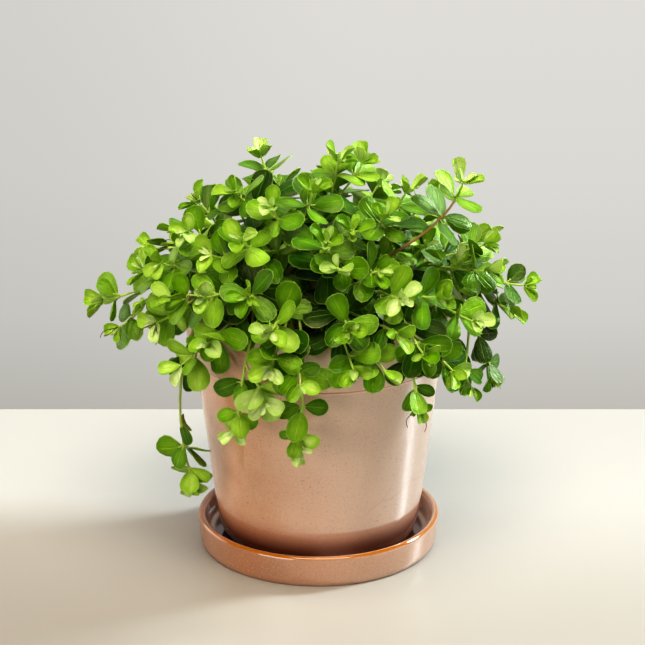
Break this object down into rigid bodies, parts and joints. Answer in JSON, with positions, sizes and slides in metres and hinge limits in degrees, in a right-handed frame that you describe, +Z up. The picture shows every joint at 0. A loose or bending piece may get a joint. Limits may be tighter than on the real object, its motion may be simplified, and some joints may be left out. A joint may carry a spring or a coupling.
{
  "type": "potted peperomia",
  "caption": "Bushy trailing peperomia with small round leaves in a glazed tapered pot that stands in a round saucer.",
  "frame": {"origin": "centre of the saucer's flat underside", "axes": "+Z up through the pot, -Y to the front that the picture shows, +X to its right"},
  "size_m": [0.2351, 0.2084, 0.2202],
  "materials": {
    "glaze": "gloss",
    "soil": "matte",
    "leaf": "satin"
  },
  "bodies": {
    "root": {"saucer": "glaze", "pot": "glaze", "soil": "soil", "leafy_stem_01": "leaf", "leafy_stem_02": "leaf", "leafy_stem_03": "leaf", "leafy_stem_04": "leaf", "leafy_stem_05": "leaf", "leafy_stem_06": "leaf", "leafy_stem_07": "leaf", "leafy_stem_08": "leaf", "leafy_stem_09": "leaf", "leafy_stem_10": "leaf", "leafy_stem_11": "leaf", "leafy_stem_12": "leaf", "leafy_stem_13": "leaf", "leafy_stem_14": "leaf", "leafy_stem_15": "leaf", "leafy_stem_16": "leaf", "leafy_stem_17": "leaf", "leafy_stem_18": "leaf", "leafy_stem_19": "leaf", "leafy_stem_20": "leaf", "leafy_stem_21": "leaf", "leafy_stem_22": "leaf", "leafy_stem_23": "leaf", "leafy_stem_24": "leaf", "leafy_stem_25": "leaf", "leafy_stem_26": "leaf", "leafy_stem_27": "leaf", "leafy_stem_28": "leaf", "leafy_stem_29": "leaf", "leafy_stem_30": "leaf", "leafy_stem_31": "leaf", "leafy_stem_32": "leaf", "leafy_stem_33": "leaf", "leafy_stem_34": "leaf", "leafy_stem_35": "leaf", "leafy_stem_36": "leaf", "leafy_stem_37": "leaf", "leafy_stem_38": "leaf", "leafy_stem_39": "leaf", "leafy_stem_40": "leaf", "leafy_stem_41": "leaf", "leafy_stem_42": "leaf", "leafy_stem_43": "leaf", "leafy_stem_44": "leaf", "leafy_stem_45": "leaf", "leafy_stem_46": "leaf", "leafy_stem_47": "leaf", "leafy_stem_48": "leaf", "leafy_stem_49": "leaf", "leafy_stem_50": "leaf", "leafy_stem_51": "leaf"}
  },
  "joints": []
}
